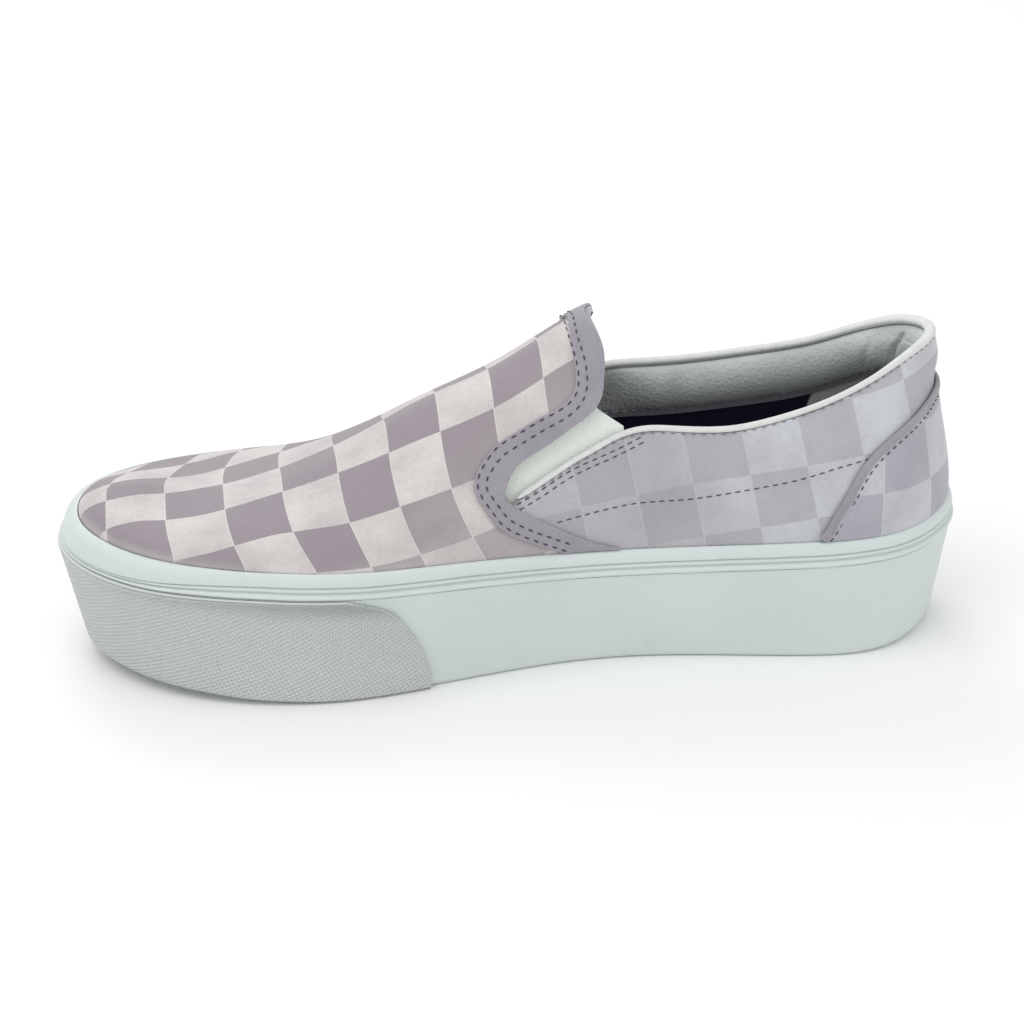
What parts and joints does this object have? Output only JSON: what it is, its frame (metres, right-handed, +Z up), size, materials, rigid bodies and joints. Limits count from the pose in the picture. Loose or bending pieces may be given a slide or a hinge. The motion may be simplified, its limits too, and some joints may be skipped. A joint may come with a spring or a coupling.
{
  "type": "slip-on sneaker",
  "caption": "Right slip-on platform sneaker with a pale lilac checked upper, white elastic side gores, a padded collar and a smooth white sole.",
  "frame": {"origin": "middle of the shoe's bounding box, on the floor under the sole", "axes": "+X from heel to toe, +Y to the wearer's left (inner side of this right shoe), +Z up"},
  "size_m": [0.2755, 0.1003, 0.1032],
  "materials": {
    "sole_rubber": "matte",
    "checked_cloth": "satin",
    "plain_cloth": "matte",
    "binding_tape": "matte",
    "lining_leather": "satin",
    "gore_elastic": "matte",
    "footbed_cloth": "matte"
  },
  "bodies": {
    "root": {"outsole": "sole_rubber", "midsole": "sole_rubber", "foxing": "sole_rubber", "toe_bumper": "sole_rubber", "insole": "footbed_cloth", "upper": "checked_cloth", "heel_counter": "checked_cloth", "vamp_band": "plain_cloth", "counter_piping": "plain_cloth", "collar_binding": "binding_tape", "collar_padding": "lining_leather", "gore_inner": "gore_elastic", "gore_outer": "gore_elastic"}
  },
  "joints": []
}
